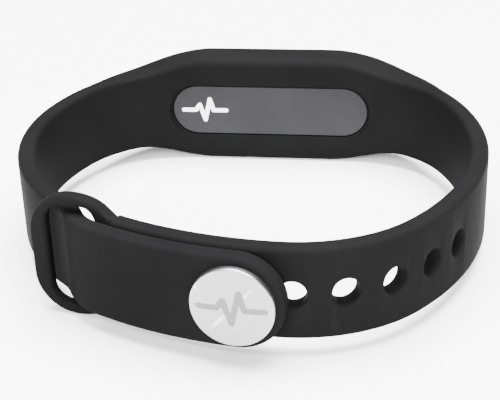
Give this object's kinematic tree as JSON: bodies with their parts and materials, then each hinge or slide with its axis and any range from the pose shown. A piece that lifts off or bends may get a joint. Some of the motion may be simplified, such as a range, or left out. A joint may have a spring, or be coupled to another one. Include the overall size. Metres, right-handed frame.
{
  "type": "fitness tracker band",
  "caption": "Closed silicone fitness wristband with a keeper ring, a metal snap stud in a row of adjustment holes and a removable tracker pod in its rear cradle.",
  "frame": {"origin": "middle of the bounding box seen along the wrist, on the plane that the band stands on", "axes": "+Z along the wrist, upwards as the band stands on its edge; +Y from the stud towards the tracker pod; +X to the right when looking from the stud towards the pod"},
  "size_m": [0.0696, 0.0736, 0.018],
  "materials": {
    "silicone": "matte moulded silicone with a fine skin grain and slightly shinier edges",
    "stud_metal": "satin turned metal with a bevelled rim",
    "plain_steel": "plain bright steel",
    "plate_grey": "grey moulded plastic with a fine spark grain",
    "pod_black": "black moulded plastic",
    "cover_metal": "bead-blasted anodised aluminium",
    "seal_rubber": "plain grey rubber",
    "carrier_plastic": "dark grey moulded plastic",
    "board_green": "green solder mask",
    "chip_black": "black epoxy packages",
    "ceramic": "pale ceramic",
    "capacitor_tan": "tan ceramic with tinned ends",
    "guide_clear": "milky clear polycarbonate",
    "cell_foil": "crimped aluminium laminate",
    "foam": "closed-cell adhesive foam",
    "tungsten": "sintered tungsten alloy",
    "flex_amber": "amber polyimide flex",
    "gold_plate": "gold plate over a copper alloy"
  },
  "bodies": {
    "band": {"strap_cradle": "silicone", "hole_strap": "silicone", "keeper_ring": "silicone", "stud_strap": "silicone", "strap_flex": "silicone"},
    "tip": {"strap_tip": "silicone", "stud_cap": "stud_metal", "stud_post": "stud_metal", "stud_washer": "plain_steel"},
    "pod": {"pod_lower_housing": "plate_grey", "pod_upper_housing": "pod_black", "pod_top_cover": "cover_metal", "housing_seal": "seal_rubber", "board_carrier": "carrier_plastic", "main_board": "board_green", "bluetooth_chip": "chip_black", "motion_sensor": "chip_black", "charger_chip": "chip_black", "crystal": "plain_steel", "chip_antenna": "ceramic", "shield_can": "plain_steel", "capacitors": "capacitor_tan", "indicator_leds": "guide_clear", "light_guides": "guide_clear", "battery_cell": "cell_foil", "battery_tabs": "plain_steel", "battery_pad": "foam", "motor_case": "plain_steel", "motor_base": "plain_steel", "motor_shaft": "plain_steel", "motor_pad": "foam", "motor_tail": "flex_amber", "charging_contacts": "gold_plate", "contact_springs": "gold_plate"},
    "rotor": {"motor_weight": "tungsten"}
  },
  "joints": [
    {"name": "tip_flex", "type": "hinge", "parent": "band", "child": "tip", "pos_m": [-0.01076, -0.0288, 0.009], "axis": [0, 0, -1], "range_deg": [0, 50], "stiffness_Nm_per_rad": 0.01, "deforming": ["strap_flex"]},
    {"name": "pod_release", "type": "slide", "parent": "band", "child": "pod", "axis": [0, 1, 0], "range_m": [0, 0.012]},
    {"name": "motor_spin", "type": "hinge", "parent": "pod", "child": "rotor", "pos_m": [-0.01235, 0.03211, 0.009], "axis": [0, 1, 0], "continuous": true}
  ]
}
